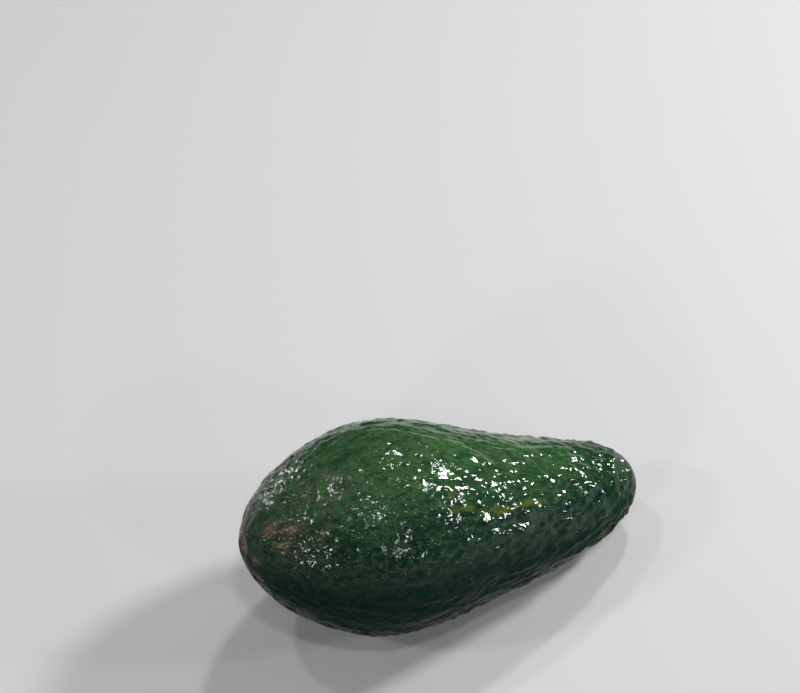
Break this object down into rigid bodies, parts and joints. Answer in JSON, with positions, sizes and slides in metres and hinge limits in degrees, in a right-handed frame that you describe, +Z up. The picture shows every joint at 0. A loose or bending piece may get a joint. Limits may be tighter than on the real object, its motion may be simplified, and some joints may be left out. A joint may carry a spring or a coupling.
{
  "type": "avocado",
  "caption": "Whole green avocado with a long bent neck and pebbled skin, lying on its side, with the stub of its stalk in the stem end.",
  "frame": {"origin": "middle of the small flat spot that the fruit lies on, under its centre of mass", "axes": "+Z up, +X along the fruit towards its stem end, +Y to the side that the neck bends to"},
  "size_m": [0.129, 0.0635, 0.0645],
  "materials": {
    "skin": "glossy, waxy, pebbled",
    "stub": "dry, rough"
  },
  "bodies": {
    "root": {"fruit": "skin", "stem_button": "stub"}
  },
  "joints": []
}
